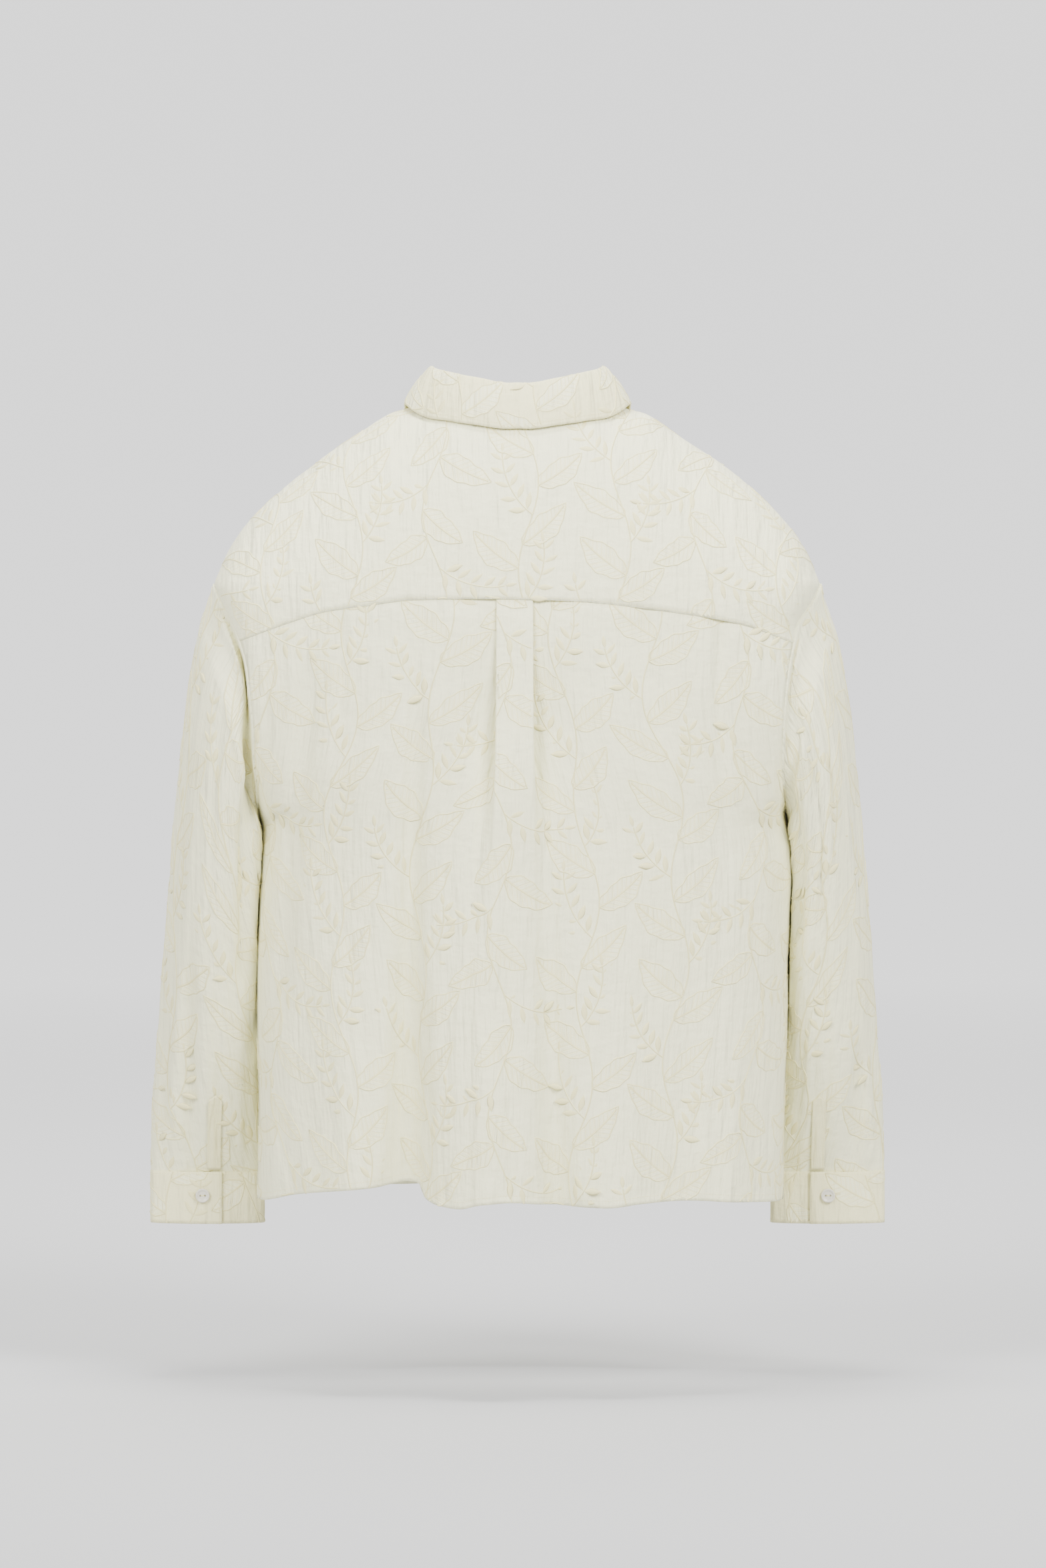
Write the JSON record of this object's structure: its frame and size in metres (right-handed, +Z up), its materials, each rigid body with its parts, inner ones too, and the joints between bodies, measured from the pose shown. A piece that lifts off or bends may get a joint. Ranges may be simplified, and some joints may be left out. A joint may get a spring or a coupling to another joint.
{
  "type": "embroidered long-sleeved shirt",
  "caption": "Hollow long-sleeved shirt with fold-over collar, back yoke, box pleat and buttoned cuffs, in leaf-embroidered off-white cloth.",
  "frame": {"origin": "midway between the two neck-side shoulder points, where the wearer's shoulders hold the shirt up", "axes": "+Z up; the front of the shirt faces -Y; +X is the wearer's left, so the picture looks along -Y from behind"},
  "size_m": [0.671, 0.2731, 0.7826],
  "materials": {
    "cloth": "off-white woven cloth with tone-on-tone leaf embroidery, matt with a faint sheen on the thread",
    "trim": "the same embroidered cloth, doubled and topstitched",
    "button": "cream two-hole shirt button with a soft gloss"
  },
  "bodies": {
    "root": {"back": "cloth", "yoke": "cloth", "front_left": "cloth", "front_right": "cloth", "collar_stand": "trim", "collar_leaf": "trim", "sleeve_left": "cloth", "sleeve_right": "cloth", "cuff_left": "trim", "cuff_right": "trim", "sleeve_placket_left": "trim", "sleeve_placket_right": "trim", "button_1": "button", "button_2": "button", "button_3": "button", "button_4": "button", "button_5": "button", "button_6": "button", "button_collar": "button", "button_cuff_left": "button", "button_cuff_right": "button"}
  },
  "joints": []
}
